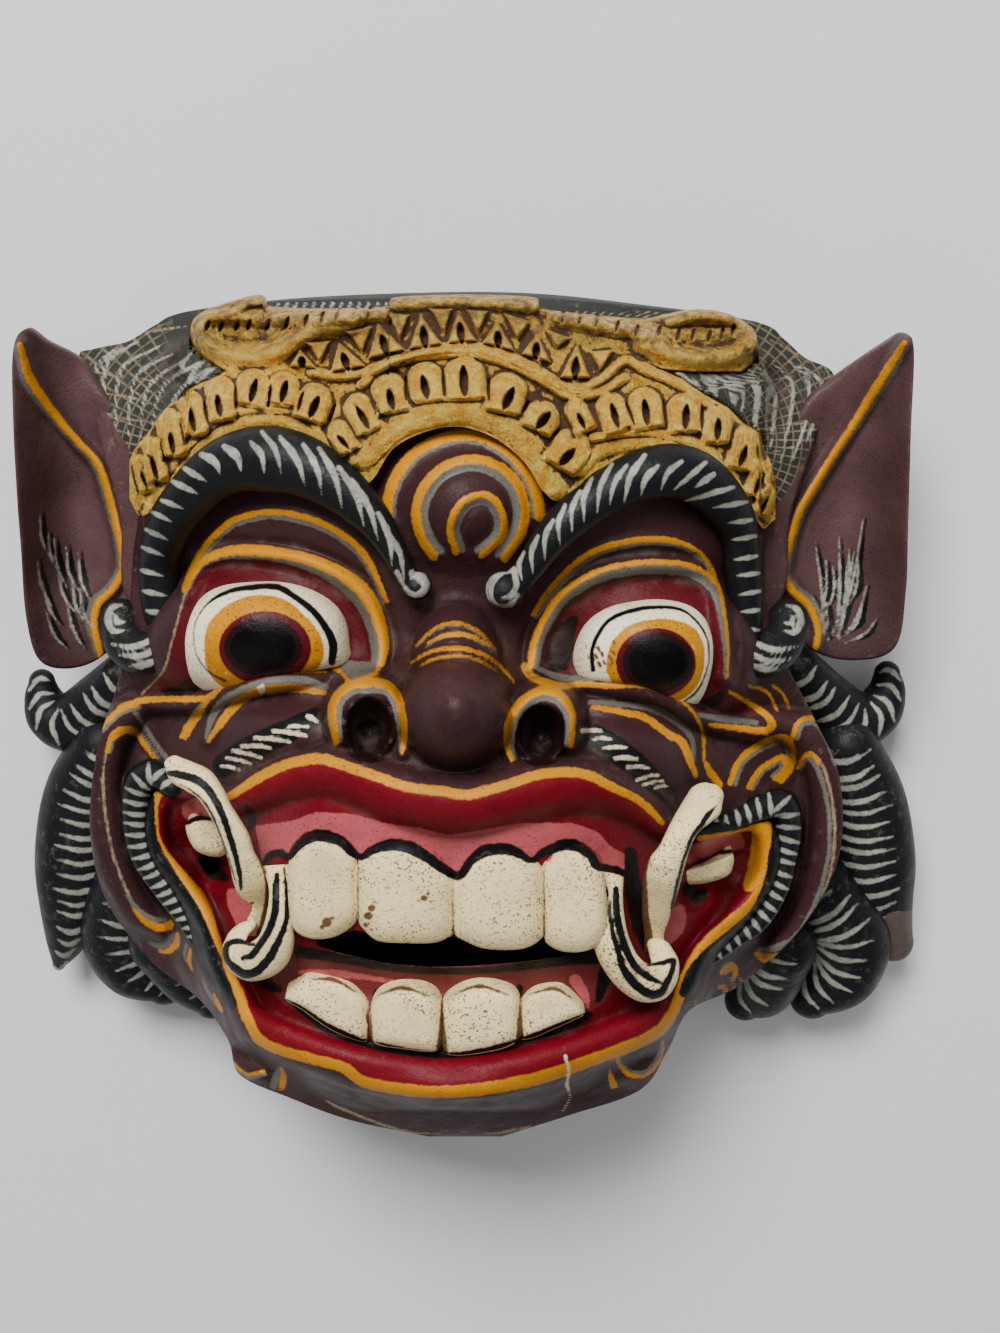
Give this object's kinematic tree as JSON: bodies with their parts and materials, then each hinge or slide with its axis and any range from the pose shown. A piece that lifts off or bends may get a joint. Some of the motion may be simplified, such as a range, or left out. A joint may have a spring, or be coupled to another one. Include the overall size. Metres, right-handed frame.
{
  "type": "barong mask",
  "caption": "Carved and painted wooden mask of a lion-like guardian, with bulging eyes, curled fangs, leaf ears and a gilded crown.",
  "frame": {"origin": "middle of the box around the mask, on the plane of the flat rim at its back", "axes": "+Z the way the face looks, +Y towards the crown, +X to the viewer's right"},
  "size_m": [0.3395, 0.2925, 0.1711],
  "materials": {
    "painted_wood": "satin"
  },
  "bodies": {
    "root": {"mask": "painted_wood"}
  },
  "joints": []
}
